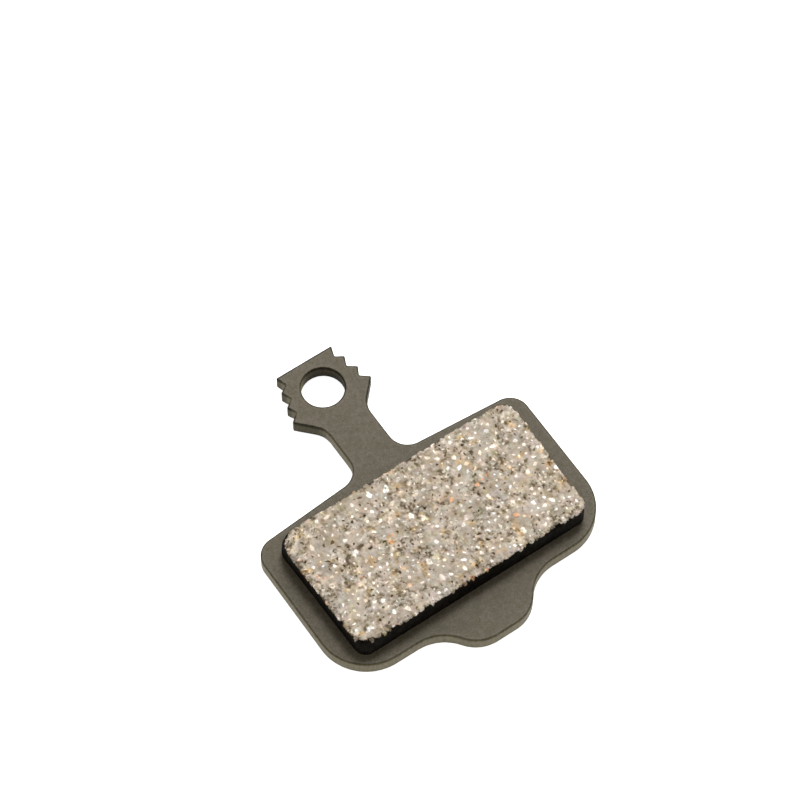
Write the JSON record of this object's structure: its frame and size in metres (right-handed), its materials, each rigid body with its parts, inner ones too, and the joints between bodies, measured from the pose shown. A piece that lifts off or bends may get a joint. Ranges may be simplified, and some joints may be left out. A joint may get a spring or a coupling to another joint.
{
  "type": "disc brake pad",
  "caption": "Bicycle disc brake pad: T-shaped steel backing plate with a toothed tab and pin hole, and a moulded friction lining keyed through it.",
  "frame": {"origin": "on the axis of the retaining pin's hole, at the back face of the steel plate, on which the pad lies", "axes": "+Z out of the friction face towards the disc, +Y from the lobe to the top of the tab, +X to the right seen from the friction side"},
  "size_m": [0.03, 0.0339, 0.004],
  "materials": {
    "plate_paint": "satin olive grey paint over blanked steel, shot-blasted on the back",
    "friction_compound": "rough pressed compound with metal chips and mineral grains"
  },
  "bodies": {
    "root": {"backing_plate": "plate_paint", "friction_lining": "friction_compound"}
  },
  "joints": []
}
